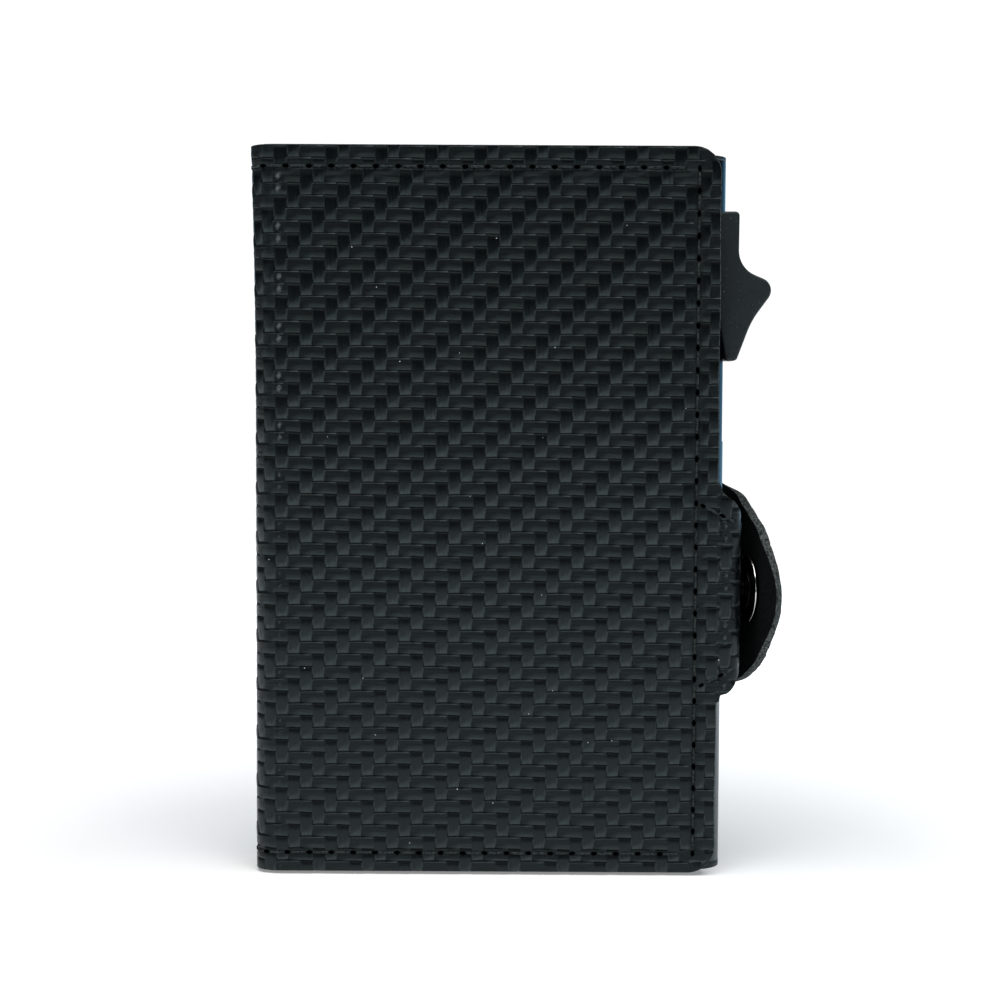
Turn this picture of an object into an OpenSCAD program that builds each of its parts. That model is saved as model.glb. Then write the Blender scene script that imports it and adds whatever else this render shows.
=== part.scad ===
// Card wallet: an aluminium card case with a side slider, wrapped in a stitched leather
// cover that closes with two leather tabs and a press stud.
// The origin is the centre of the card mouth's end face. +Z runs up the case to its closed
// end, +X points at the slider side, and the front cover faces -Y.

/* [Cards] */
// Width of a bank card
card_w = 54; // [50:0.5:60]
// Height of a bank card
card_h = 85.6; // [80:0.4:95]
// Free room beside and beyond the cards
card_play = 0.3; // [0.2:0.05:0.6]
// Thickness of the stack of cards that the case takes
stack_t = 4.6; // [3.8:0.2:5.2]

/* [Case] */
// Depth of the case from front to back
case_d = 8.6; // [8:0.2:10]
// Wall of the aluminium case
case_wall = 0.9; // [0.7:0.1:1.2]
// Room inside the case, beside the cards, for the slider's arm
slider_room = 5.8; // [5.6:0.1:8]
// Thickness of the closed end's cover plate
cap_plate_t = 0.6; // [0.4:0.1:1]
// Depth to which the closed end's plug reaches into the case
cap_plug_h = 0.9; // [0.6:0.1:2]
// Thickness of the frame at the card mouth
mouth_plate_t = 0.8; // [0.6:0.1:1.5]
// Depth to which the mouth frame's collar reaches into the case
mouth_collar_h = 4; // [2:0.2:6]
// Clearance round the plug and the collar
plug_clear = 0.05; // [0.02:0.01:0.15]
// Thickness of the felt pads that hold the cards back
felt_t = 0.5; // [0.3:0.1:0.7]
// Height of the felt pads
felt_h = 8; // [5:0.5:14]

/* [Slider] */
// Travel of the slider towards the mouth
slider_travel = 17.5; // [10:0.5:17.5]
// Height of the stepped pusher above the cards
pusher_h = 9.6; // [7:0.1:14]
// Number of steps on the pusher, one for each card
pusher_steps = 6; // [3:1:8]
// Drop from one step to the next
step_drop = 1.3; // [0.6:0.1:1.3]
// Clearance round the sliding pieces
slide_clear = 0.3; // [0.2:0.05:0.4]
// Depth of the arm from front to back
arm_d = 3.2; // [2.4:0.1:3.6]
// Width of the slot in the case side
slot_w = 2.6; // [2:0.1:3]
// Clearance on each side of the stem in the slot
stem_clear = 0.12; // [0.05:0.01:0.2]
// Height of the stem that passes through the slot
stem_h = 12; // [8:0.5:14]
// Depth of the thumb piece from front to back
thumb_d = 5.4; // [4.4:0.2:6.4]
// Height of the thumb piece
thumb_h = 20; // [18:0.5:24]
// Distance from the case's closed end to the top of the thumb piece
thumb_drop = 7.4; // [6:0.1:9.5]
// How far the thumb piece's strip stands out from the case side
thumb_strip = 2.1; // [2:0.1:3]
// How far the thumb piece's nose stands out from the case side
thumb_reach = 6.6; // [5.5:0.1:8]
// Distance from the top of the thumb piece to its nose
thumb_nose_drop = 10.5; // [9:0.1:12]
// Gap between the thumb piece's lower end and the case side
thumb_tail_gap = 0.4; // [0.2:0.1:0.8]
// Radius of the nose
thumb_nose_r = 1.5; // [1:0.1:2]
// Radius of the hollow above the nose that the thumb presses
thumb_hollow_r = 3.2; // [2.5:0.1:3.6]

/* [Leather cover] */
// Thickness of the outer leather
shell_t = 1.2; // [0.8:0.1:1.6]
// Thickness of the lining
lining_t = 0.6; // [0.4:0.1:0.8]
// Thickness of each pocket layer
pocket_t = 0.6; // [0.4:0.1:0.8]
// Thickness of the adhesive that holds the case to the back cover
adhesive_t = 0.4; // [0.2:0.05:0.8]
// Free room between the pockets and the case
cover_gap = 1; // [0.5:0.1:2]
// Free room between the spine and the case
spine_gap = 0.4; // [0.3:0.1:1]
// Height of the cover
cover_h = 98.5; // [90:0.5:105]
// Height of the cover's lower edge above the mouth's end face
cover_lift = 0.5; // [0.2:0.1:1]
// How far the cover's free edge stays inside the case side
cover_setback = 0.8; // [0.3:0.1:2]
// Radius of the cover's free corners
corner_r = 3.6; // [2:0.2:6]
// Outer radius of the folds along the spine
fold_r = 3.2; // [2.6:0.1:3.6]
// Inset of the lining from the leather's edge
lining_inset = 0.4; // [0.2:0.1:1]
// Height of the tall pocket
tall_pocket_h = 64; // [50:1:80]
// Height of the short pocket
short_pocket_h = 40; // [25:1:48]
// Radius of the thumb notch in each pocket
notch_r = 8; // [5:0.5:10]

/* [Tabs] */
// Height of the press stud above the mouth's end face
snap_z = 39; // [30:0.5:45]
// Depth of the press stud's axis in front of the case's middle plane
snap_y = 1.4; // [0.8:0.1:2]
// Width of both tabs at the cover's edge
tab_root_w = 30; // [26:0.5:34]
// Outer radius of the front tab's fold
front_fold_r = 2.2; // [2:0.1:3]
// How far the front tab's outer face stands out from the case side
front_tab_reach = 2.5; // [2.4:0.1:3.2]
// Width of the front tab where its fold begins
front_tab_w = 23.8; // [20:0.2:26]
// Radius of the front tab's round end
front_end_r = 5.4; // [5:0.1:5.6]
// Outer radius of the back tab's fold
back_fold_r = 3.6; // [3.2:0.1:4]
// Radius of the back tab's round end
back_end_r = 10.6; // [9:0.2:12]
// Flare of the back tab away from the case side, in degrees
back_tilt = 11; // [8:0.5:14]
// Room between the two tabs at the press stud
tab_room = 1.8; // [1.7:0.1:3]
// Length of the back tab from its press stud to its tip, along Y
back_tip = 8; // [6:0.5:11]
// How far the back tab's lip turns out past the press stud, in degrees
lip_turn = 27; // [15:1:40]

/* [Press stud] */
// Diameter of the socket's flange
socket_d = 9.6; // [8:0.2:10.4]
// Diameter of the socket's boss
boss_d = 5.6; // [5.2:0.1:6.4]
// Height of the socket's boss
boss_h = 0.8; // [0.6:0.05:1]
// Diameter of the stud's head
stud_head_d = 3.2; // [2.6:0.1:3.4]
// Diameter of the stud's base
stud_base_d = 5; // [4:0.2:6]
// Height of the stud
stud_h = 1.4; // [1:0.1:1.6]
// Thickness of the thin metal flanges
flange_t = 0.25; // [0.2:0.05:0.3]
// Diameter of the post that rivets the stud
post_d = 1.8; // [1.4:0.1:2]
// Diameter of the post's flange inside the front tab
post_flange_d = 7; // [5:0.2:8]
// Diameter of the outer cap
cap_d = 9.6; // [8:0.2:10.4]
// Height of the outer cap's dome
cap_dome_h = 1; // [0.6:0.1:1.4]
// Diameter of the wire of the socket's spring ring
wire_d = 0.4; // [0.3:0.05:0.45]
// Clearance between the stud's head and the spring ring
snap_clear = 0.2; // [0.1:0.05:0.3]

/* [Stitching] */
// Distance from one stitch to the next
stitch_pitch = 3; // [2.5:0.1:4]
// Length of a stitch
stitch_l = 2.3; // [1.8:0.1:2.4]
// Thickness of the thread
thread_d = 0.45; // [0.3:0.05:0.6]
// How far the thread stands out from the leather
thread_proud = 0.2; // [0.1:0.05:0.3]
// Distance from the leather's edge to the stitching
stitch_inset = 2.5; // [2:0.1:3.2]

/* [Hidden] */
$fn = 64;
big = 400;

// Case: a tube with full-round sides
case_w = card_w + slider_room + 2 * case_wall;
side_x = case_w / 2;
case_r = case_d / 2;
flat_half = side_x - case_r;
bore_d = case_d - 2 * case_wall;
bore_r = bore_d / 2;
card_z = mouth_plate_t + card_play;
pusher_z = card_z + card_h + card_play;
pusher_top = pusher_z + pusher_h;
plug_z = pusher_top + card_play;
tube_top = plug_z + cap_plug_h;
case_h = tube_top + cap_plate_t;

// Cards stand against the round side opposite the slider
card_x0 = -flat_half - sqrt(pow(bore_r, 2) - pow(stack_t / 2, 2)) + card_play;
card_x1 = card_x0 + card_w;
rail_x = card_x1 + card_play;
rail_t = 0.6;
collar_z = mouth_plate_t + mouth_collar_h;
rail_top = pusher_z - slider_travel - slide_clear;
felt_inset = 8;

// Slider
arm_x0 = rail_x + rail_t + slide_clear;
arm_x1 = flat_half + sqrt(pow(bore_r - slide_clear, 2) - pow(arm_d / 2, 2));
arm_overlap = 0.4;
arm_z = thumb_top_z() - thumb_h + 3;
stem_z = thumb_top_z() - thumb_h / 2 - stem_h / 2 + 2;
stem_reach = 1.2;
top_r = 0.5;
join = 0.03;
function thumb_top_z() = case_h - thumb_drop;

// Planes of the leather cover
front_y = -case_r - cover_gap - 2 * pocket_t - lining_t - shell_t;
back_y = case_r + adhesive_t + lining_t + shell_t;
spine_x = -side_x - spine_gap - lining_t - shell_t;
edge_x = side_x - cover_setback;
cover_top = cover_lift + cover_h;
leather_t = shell_t + lining_t;
pocket_y = front_y + leather_t;

// Centres of the folds
front_fold = [spine_x + fold_r, front_y + fold_r];
back_fold = [spine_x + fold_r, back_y - fold_r];
tab_x = side_x + front_tab_reach;
front_tab_fold = [tab_x - front_fold_r, front_y + front_fold_r];
socket_x = tab_x + tab_room;
back_in_r = back_fold_r - shell_t;
back_tab_fold = [socket_x + (-snap_y - back_y + back_fold_r) * tan(back_tilt)
    - back_in_r / cos(back_tilt), back_y - back_fold_r];

// The back tab runs straight from its fold to just past the outer cap, where its lip begins
past_snap = cap_d / 2 + 0.1;
strap_len = (back_tab_fold[1] + back_in_r * sin(back_tilt) + snap_y) / cos(back_tilt) + past_snap;
tip_y = -snap_y - back_tip;
lip_chord = (back_tip - past_snap * cos(back_tilt)) / cos(back_tilt + lip_turn / 2);
lip_r = lip_chord / 2 / sin(lip_turn / 2);

// ---- shapes shared by several pieces ----

// Outline of the case, or of its bore, in plan
module stadium(half, r) {
    square([2 * half, 2 * r], center = true);
    for (s = [-1, 1]) translate([s * half, 0]) circle(r);
}

// Part of a ring between two angles less than 120 degrees apart
module ring_sector(centre, r_out, r_in, a0, a1) {
    translate(centre) intersection() {
        difference() {
            circle(r_out);
            circle(r_in);
        }
        polygon([[0, 0], 3 * r_out * [cos(a0), sin(a0)], 3 * r_out * [cos(a1), sin(a1)]]);
    }
}

// A rectangle given by two opposite corners
module box2(a, b) {
    translate(a) square(b - a);
}

// Solid with this plan, cut to the height of the cover
module upright(z0, z1) {
    translate([0, 0, z0]) linear_extrude(z1 - z0) children();
}

// Prism along Y through an outline drawn as x and z
module along_y(y0, y1) {
    translate([0, y1, 0]) rotate([90, 0, 0]) linear_extrude(y1 - y0) children();
}

// Prism along X through an outline drawn as y and z
module along_x(x0, x1) {
    translate([x0, 0, 0]) rotate([90, 0, 90]) linear_extrude(x1 - x0) children();
}

// Elevation of a cover: square at the spine, round at its free corners
module cover_outline(inset) {
    x1 = edge_x - inset;
    z0 = cover_lift + inset;
    z1 = cover_top - inset;
    box2([spine_x - 1, z0], [x1 - corner_r, z1]);
    box2([spine_x - 1, z0 + corner_r], [x1, z1 - corner_r]);
    for (z = [z0 + corner_r, z1 - corner_r]) translate([x1 - corner_r, z]) circle(corner_r);
}

// Elevation of a tab's root, which tapers from the cover's edge
module root_outline(inset, w_end, x_end) {
    polygon([
        [edge_x - corner_r, snap_z - tab_root_w / 2 + inset],
        [edge_x, snap_z - tab_root_w / 2 + inset],
        [x_end, snap_z - w_end / 2 + inset],
        [x_end, snap_z + w_end / 2 - inset],
        [edge_x, snap_z + tab_root_w / 2 - inset],
        [edge_x - corner_r, snap_z + tab_root_w / 2 - inset]]);
}

// A row of stitches from point a to point b, drawn flat on z = 0
module stitch_row(a, b) {
    run = norm(b - a);
    count = floor(run / stitch_pitch);
    spare = run - count * stitch_pitch;
    dir = (b - a) / run;
    for (i = [0:count - 1]) {
        mid = a + dir * (spare / 2 + (i + 0.5) * stitch_pitch);
        translate(mid) rotate(atan2(dir[1], dir[0])) square([stitch_l, thread_d], center = true);
    }
}

// Stitches on a cover: along both ends and down the free edge
module cover_rows() {
    x0 = spine_x + fold_r;
    x1 = edge_x - stitch_inset;
    z0 = cover_lift + stitch_inset;
    z1 = cover_top - stitch_inset;
    stitch_row([x0, z0], [x1, z0]);
    stitch_row([x0, z1], [x1, z1]);
    stitch_row([x1, z0 + thread_d], [x1, z1 - thread_d]);
}

// ---- the card case ----

module case_body() {
    color("#17191b") difference() {
        upright(mouth_plate_t, tube_top) difference() {
            stadium(flat_half, case_r);
            stadium(flat_half, bore_r);
        }
        along_x(flat_half, side_x + 1)
            box2([-slot_w / 2, stem_z - slider_travel - stem_clear],
                [slot_w / 2, stem_z + stem_h + stem_clear]);
    }
}

module closed_end_cap() {
    color("#1c1e20") {
        upright(tube_top, case_h) stadium(flat_half, case_r);
        upright(plug_z, tube_top) stadium(flat_half, bore_r - plug_clear);
    }
}

// Opening of the card mouth in plan
module mouth_opening() {
    x0 = card_x0 - card_play / 2;
    x1 = card_x1 + card_play / 2;
    box2([x0, -stack_t / 2 - card_play / 2], [x1, stack_t / 2 + card_play / 2]);
}

module mouth_frame() {
    color("#1c1e20") difference() {
        union() {
            upright(0, mouth_plate_t) stadium(flat_half, case_r);
            upright(mouth_plate_t, collar_z) stadium(flat_half, bore_r - plug_clear);
        }
        upright(-1, collar_z + 1) mouth_opening();
    }
}

module friction_pads() {
    color("#2a2b2d") for (s = [-1, 1])
        translate([card_x0 + felt_inset, s * (bore_r - felt_t / 2) - felt_t / 2, collar_z])
            cube([card_w - 2 * felt_inset, felt_t, felt_h]);
}

module card_guide_rail() {
    color("#9a9da0") upright(collar_z, rail_top) box2([rail_x, -bore_r], [rail_x + rail_t, bore_r]);
}

// ---- the slider ----

// The pusher's steps leave one slot of depth for each card
module slider_carriage() {
    half = bore_r - slide_clear;
    slab = 2 * half / pusher_steps;
    color("#232527") union() {
        for (i = [0:pusher_steps - 1])
            translate([-flat_half, half - (i + 1) * slab, pusher_z + i * step_drop])
                cube([flat_half + arm_x0 + arm_overlap, (i + 1) * slab, pusher_h - i * step_drop]);
        translate([arm_x0, -arm_d / 2, arm_z])
            cube([arm_x1 - arm_x0, arm_d, pusher_top - arm_z]);
        translate([arm_x1 - 1, -slot_w / 2 + stem_clear, stem_z])
            cube([side_x + stem_reach - arm_x1 + 1, slot_w - 2 * stem_clear, stem_h]);
    }
}

// Side view of the thumb piece, measured from the case side and from its own top.
// Its sharp nose is rounded by what lies outside the nose circle between two angles.
module thumb_outline() {
    nose = [thumb_reach - thumb_nose_r, -thumb_nose_drop];
    hollow = [thumb_strip + thumb_hollow_r - join, nose[1] + thumb_nose_r + thumb_hollow_r + 0.3];
    top_a = 68;
    low_a = -35;
    mid_a = (top_a + low_a) / 2;
    tip = thumb_nose_r / cos((top_a - low_a) / 2);
    difference() {
        polygon([[-case_r, 0], [thumb_strip - top_r, 0], [thumb_strip, -top_r],
            [thumb_strip, hollow[1]],
            hollow + (thumb_hollow_r - join) * [cos(245), sin(245)],
            nose + thumb_nose_r * [cos(top_a), sin(top_a)],
            nose + tip * [cos(mid_a), sin(mid_a)],
            nose + thumb_nose_r * [cos(low_a), sin(low_a)],
            [0.6 * thumb_strip + 0.4 * thumb_reach, -0.7 * thumb_h],
            [thumb_strip - 0.7, -thumb_h], [thumb_tail_gap, -thumb_h], [-case_r, -0.55 * thumb_h]]);
        translate(hollow) circle(thumb_hollow_r);
        translate(nose) difference() {
            polygon([[0, 0], 3 * thumb_nose_r * [cos(low_a), sin(low_a)],
                4 * thumb_nose_r * [cos(mid_a), sin(mid_a)],
                3 * thumb_nose_r * [cos(top_a), sin(top_a)]]);
            circle(thumb_nose_r);
        }
    }
}

// The thumb piece straddles the case's round side and takes the carriage's stem
module slider_thumb() {
    color("#26292a") difference() {
        translate([side_x, 0, thumb_top_z()]) along_y(-thumb_d / 2, thumb_d / 2) thumb_outline();
        upright(-1, case_h + 1) stadium(flat_half, case_r + slide_clear / 2);
        translate([side_x - 1, -slot_w / 2 + stem_clear, stem_z])
            cube([stem_reach + 1, slot_w - 2 * stem_clear, stem_h]);
    }
}

// ---- the back cover, fixed to the case ----

module adhesive_pad() {
    color("#cfcabb") translate([-flat_half + 1, case_r, cover_lift + 6])
        cube([2 * flat_half - 2, adhesive_t, case_h - 16]);
}

// Plan of the back cover between two depths below its outer face
module back_plan(d0, d1, with_tab) {
    box2([back_fold[0], back_y - d1], [with_tab ? back_tab_fold[0] : edge_x, back_y - d0]);
    ring_sector(back_fold, fold_r - d0, fold_r - d1, 90, 135);
    if (with_tab) ring_sector(back_tab_fold, back_fold_r - d0, back_fold_r - d1, 45, 90);
}

module back_cover_shell() {
    color("#1e2224") intersection() {
        upright(0, big) back_plan(0, shell_t, true);
        along_y(0, big) {
            cover_outline(0);
            root_outline(0, 2 * back_root_half(), back_tab_fold[0] + back_fold_r);
        }
    }
}

// Half width of the back tab where its fold starts to turn forward
function back_root_half() = tab_root_w / 2 - 1.6;

module back_cover_lining() {
    color("#1a1b1c") intersection() {
        upright(0, big) back_plan(shell_t, leather_t, false);
        along_y(0, big) cover_outline(lining_inset);
    }
}

module back_cover_stitches() {
    color("#0c0d0e") along_y(back_y, back_y + thread_proud) cover_rows();
}

// ---- the spine ----

module spine_plan(d0, d1) {
    box2([spine_x + d0, front_fold[1]], [spine_x + d1, back_fold[1]]);
    ring_sector(front_fold, fold_r - d0, fold_r - d1, 180, 225);
    ring_sector(back_fold, fold_r - d0, fold_r - d1, 135, 180);
}

module spine_shell() {
    color("#1e2224") upright(cover_lift, cover_top) spine_plan(0, shell_t);
}

module spine_lining() {
    color("#1a1b1c") upright(cover_lift + lining_inset, cover_top - lining_inset)
        spine_plan(shell_t, leather_t);
}

module spine_stitches() {
    color("#0c0d0e") along_x(spine_x - thread_proud, spine_x)
        for (z = [cover_lift + stitch_inset, cover_top - stitch_inset])
            stitch_row([front_fold[1], z], [back_fold[1], z]);
}

// ---- the front cover ----

module front_plan(d0, d1) {
    box2([front_fold[0], front_y + d0], [front_tab_fold[0], front_y + d1]);
    ring_sector(front_fold, fold_r - d0, fold_r - d1, 225, 270);
    ring_sector(front_tab_fold, front_fold_r - d0, front_fold_r - d1, 270, 315);
}

module front_cover_shell() {
    color("#1e2224") intersection() {
        upright(0, big) front_plan(0, shell_t);
        along_y(-big, 0) {
            cover_outline(0);
            root_outline(0, front_tab_w, tab_x);
        }
    }
}

module front_cover_lining() {
    color("#1a1b1c") intersection() {
        upright(0, big) front_plan(shell_t, leather_t);
        along_y(-big, 0) {
            cover_outline(lining_inset);
            root_outline(lining_inset, front_tab_w, tab_x);
        }
    }
}

// A pocket layer with a thumb notch in its upper edge
module pocket(layer, h) {
    x0 = front_fold[0] + 2;
    x1 = edge_x - 1;
    z0 = cover_lift + lining_inset + 0.6;
    y0 = pocket_y + layer * pocket_t;
    along_y(y0, y0 + pocket_t) difference() {
        box2([x0, z0], [x1, z0 + h]);
        translate([(x0 + x1) / 2, z0 + h]) circle(notch_r);
    }
}

module front_pocket_tall() {
    color("#202325") pocket(0, tall_pocket_h);
}

module front_pocket_short() {
    color("#202325") pocket(1, short_pocket_h);
}

// Stitches on the front face, with the two slanting rows that lead onto the tab
module front_cover_stitches() {
    x1 = edge_x - stitch_inset;
    color("#0c0d0e") along_y(front_y - thread_proud, front_y) {
        cover_rows();
        for (s = [-1, 1])
            stitch_row([x1 + thread_d, snap_z + s * (tab_root_w / 2 - stitch_inset)],
                [front_tab_fold[0], snap_z + s * (front_tab_w / 2 - stitch_inset - 0.6)]);
    }
}

// ---- the front tab ----

front_end = [-snap_y, snap_z];

// Elevation of the front tab as y and z: straight sides that run into a round end
module front_tab_outline(inset) {
    r = front_end_r - inset;
    root_y = front_y + front_fold_r * (1 - cos(45));
    w = front_tab_w / 2 - inset;
    translate(front_end) circle(r);
    polygon([
        [root_y, snap_z - w], [-snap_y - r * cos(45), snap_z - r * sin(45)],
        [-snap_y, snap_z - r], [-snap_y, snap_z + r],
        [-snap_y - r * cos(45), snap_z + r * sin(45)], [root_y, snap_z + w],
        [front_y - 1, snap_z + w], [front_y - 1, snap_z - w]]);
}

module front_tab_plan(d0, d1) {
    box2([tab_x - d1, front_tab_fold[1]], [tab_x - d0, front_end_r - snap_y]);
    ring_sector(front_tab_fold, front_fold_r - d0, front_fold_r - d1, 315, 360);
}

module front_tab_layer(d0, d1, inset) {
    difference() {
        intersection() {
            upright(0, big) front_tab_plan(d0, d1);
            along_x(0, big) front_tab_outline(inset);
        }
        translate([0, -snap_y, snap_z]) rotate([0, 90, 0]) cylinder(d = post_d, h = big);
    }
}

module front_tab_shell() {
    color("#1e2224") front_tab_layer(0, shell_t, 0);
}

module front_tab_lining() {
    color("#1a1b1c") front_tab_layer(shell_t, leather_t, lining_inset);
}

// Stitches round the tab's end, one by one along an arc
module front_tab_stitches() {
    r = front_end_r - 1;
    step = stitch_pitch / r * 180 / PI;
    color("#0c0d0e") along_x(tab_x, tab_x + thread_proud) for (i = [-2:2])
        translate(front_end) rotate(i * step) translate([r, 0])
            square([thread_d, stitch_l], center = true);
}

// ---- the press stud ----

// Puts a shape drawn about +Z on the stud's axis, with z = 0 on the front tab's outer face
module on_front_tab() {
    translate([tab_x, -snap_y, snap_z]) rotate([0, 90, 0]) children();
}

// Puts a shape drawn about +Z on the back tab, with z = 0 on its inner face, towards the case
module on_back_tab() {
    translate([socket_x, -snap_y, snap_z]) rotate([0, 0, back_tilt]) rotate([0, -90, 0]) children();
}

module snap_post() {
    color("#b8babb") on_front_tab() {
        translate([0, 0, -leather_t - flange_t]) cylinder(d = post_flange_d, h = flange_t);
        translate([0, 0, -leather_t]) cylinder(d = post_d, h = leather_t + stud_h - flange_t);
    }
}

module snap_stud() {
    neck_d = stud_head_d - 0.6;
    color("#c4c6c7") on_front_tab() difference() {
        union() {
            cylinder(d = stud_base_d, h = flange_t);
            cylinder(d = neck_d, h = stud_h / 2);
            translate([0, 0, stud_h / 2]) cylinder(d = stud_head_d, h = stud_h / 2);
        }
        translate([0, 0, -1]) cylinder(d = post_d, h = 1 + stud_h - flange_t);
    }
}

spring_r = stud_head_d / 2 + snap_clear + wire_d / 2;

module snap_socket() {
    bore = stud_head_d + 2 * snap_clear;
    color("#c4c6c7") on_back_tab() difference() {
        union() {
            cylinder(d = socket_d, h = flange_t);
            cylinder(d = boss_d, h = boss_h);
        }
        translate([0, 0, -1]) cylinder(d = bore, h = 2 + boss_h);
        translate([0, 0, flange_t]) cylinder(r = spring_r + wire_d / 2, h = wire_d);
    }
}

module snap_spring() {
    color("#d8d9da") on_back_tab() translate([0, 0, flange_t + wire_d / 2])
        rotate_extrude() translate([spring_r, 0]) circle(d = wire_d, $fn = 16);
}

// The cap's shank goes through the leather to the socket
module snap_cap() {
    sphere_r = (pow(cap_d / 2, 2) + pow(cap_dome_h, 2)) / (2 * cap_dome_h);
    color("#3a3c3e") on_back_tab() {
        intersection() {
            translate([0, 0, -shell_t - cap_dome_h + sphere_r]) sphere(sphere_r, $fn = 96);
            translate([0, 0, -shell_t - cap_dome_h - 1]) cylinder(d = cap_d + 2, h = cap_dome_h + 1);
        }
        translate([0, 0, -shell_t]) cylinder(d = shank_d, h = shell_t);
    }
}

shank_d = 3;

// ---- the back tab ----

// Elevation of the back tab as y and z: a round end whose sides widen to the root
module back_tab_outline() {
    centre_y = tip_y + back_end_r;
    edge_y = back_y - back_fold_r * (1 - sin(45));
    translate([centre_y, snap_z]) circle(back_end_r);
    polygon([
        [centre_y - back_end_r * sin(24), snap_z - back_end_r * cos(24)],
        [edge_y, snap_z - back_root_half()], [back_y, snap_z - back_root_half()],
        [back_y, snap_z + back_root_half()], [edge_y, snap_z + back_root_half()],
        [centre_y - back_end_r * sin(24), snap_z + back_end_r * cos(24)]]);
}

module back_tab_plan() {
    translate(back_tab_fold) rotate(back_tilt) {
        ring_sector([0, 0], back_fold_r, back_in_r, 0, 45 - back_tilt);
        box2([back_in_r, -strap_len], [back_fold_r, 0]);
        ring_sector([back_in_r + lip_r, -strap_len], lip_r, lip_r - shell_t, 180, 180 + lip_turn);
    }
}

module back_tab_leather() {
    color("#1e2224") difference() {
        intersection() {
            upright(0, big) back_tab_plan();
            along_x(0, big) back_tab_outline();
        }
        on_back_tab() translate([0, 0, -3 * shell_t]) cylinder(d = shank_d, h = 4 * shell_t);
    }
}

case_body();
closed_end_cap();
mouth_frame();
friction_pads();
card_guide_rail();
slider_carriage();
slider_thumb();
adhesive_pad();
back_cover_shell();
back_cover_lining();
back_cover_stitches();
spine_shell();
spine_lining();
spine_stitches();
front_cover_shell();
front_cover_lining();
front_pocket_tall();
front_pocket_short();
front_cover_stitches();
front_tab_shell();
front_tab_lining();
front_tab_stitches();
snap_post();
snap_stud();
back_tab_leather();
snap_socket();
snap_spring();
snap_cap();
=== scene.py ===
import math
import bmesh
import bpy
import mathutils
import numpy as np
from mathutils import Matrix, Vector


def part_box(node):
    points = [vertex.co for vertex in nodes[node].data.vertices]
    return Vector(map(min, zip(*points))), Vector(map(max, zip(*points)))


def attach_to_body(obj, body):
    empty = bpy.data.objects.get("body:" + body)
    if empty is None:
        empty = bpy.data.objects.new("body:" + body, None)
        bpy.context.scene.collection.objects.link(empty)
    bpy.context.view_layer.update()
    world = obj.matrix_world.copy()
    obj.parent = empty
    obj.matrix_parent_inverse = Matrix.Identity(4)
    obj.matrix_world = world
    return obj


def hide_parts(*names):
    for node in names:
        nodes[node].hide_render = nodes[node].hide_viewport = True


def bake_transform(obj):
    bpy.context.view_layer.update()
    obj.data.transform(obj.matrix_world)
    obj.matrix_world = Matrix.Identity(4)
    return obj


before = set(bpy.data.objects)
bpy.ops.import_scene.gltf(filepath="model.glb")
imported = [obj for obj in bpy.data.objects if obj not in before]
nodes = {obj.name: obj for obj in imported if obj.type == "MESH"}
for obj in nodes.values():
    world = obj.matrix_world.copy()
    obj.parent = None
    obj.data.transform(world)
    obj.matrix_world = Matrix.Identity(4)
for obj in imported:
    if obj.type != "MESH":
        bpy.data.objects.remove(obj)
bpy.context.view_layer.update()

mm = 0.001
scene = bpy.context.scene


def linear(code):
    # sRGB hex to linear: c / 12.92 below 0.04045, else ((c + 0.055) / 1.055) ^ 2.4
    rgb = [int(code[i:i + 2], 16) / 255 for i in (1, 3, 5)]
    return tuple(c / 12.92 if c <= 0.04045 else ((c + 0.055) / 1.055) ** 2.4 for c in rgb) + (1.0,)


def addNode(tree, kind, sockets=None, out=0, stops=None, **settings):
    # adds a shader node, sets its inputs to values or to other nodes' outputs, and returns one output
    node = tree.nodes.new("ShaderNode" + kind)
    for key, value in settings.items():
        setattr(node, key, value)
    for key, value in (sockets or {}).items():
        if isinstance(value, bpy.types.NodeSocket):
            tree.links.new(value, node.inputs[key])
        else:
            node.inputs[key].default_value = value
    for number, (place, code) in enumerate(stops or []):
        elements = node.color_ramp.elements
        element = elements[number] if number < 2 else elements.new(place)
        element.position, element.color = place, linear(code)
    return node.outputs[out] if len(node.outputs) else node


def newMaterial(name):
    # a material with an empty node tree
    material = bpy.data.materials.new(name)
    material.use_nodes = True
    material.node_tree.nodes.clear()
    return material, material.node_tree


def finish(tree, sockets):
    # closes a material with its one shader
    addNode(tree, "OutputMaterial", {"Surface": addNode(tree, "BsdfPrincipled", sockets)})


def smooth(value, start=0.0, end=1.0):
    # 0 up to the start, 1 from the end on and level at both: t^2 (3 - 2 t), t being the share of the way
    t = np.clip((value - start) / (end - start), 0, 1)
    return t * t * (3 - 2 * t)


def gridFaces(rows, columns, closed=False):
    # quads of a grid of points stored row by row; closed joins the last column to the first
    r, c = np.meshgrid(np.arange(rows - 1), np.arange(columns if closed else columns - 1), indexing="ij")
    after = (c + 1) % columns
    return np.stack([r * columns + c, r * columns + after, (r + 1) * columns + after, (r + 1) * columns + c],
                    axis=-1).reshape(-1, 4)


def addObject(name, data):
    # puts an object with this data into the scene
    thing = bpy.data.objects.new(name, data)
    scene.collection.objects.link(thing)
    return thing


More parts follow.
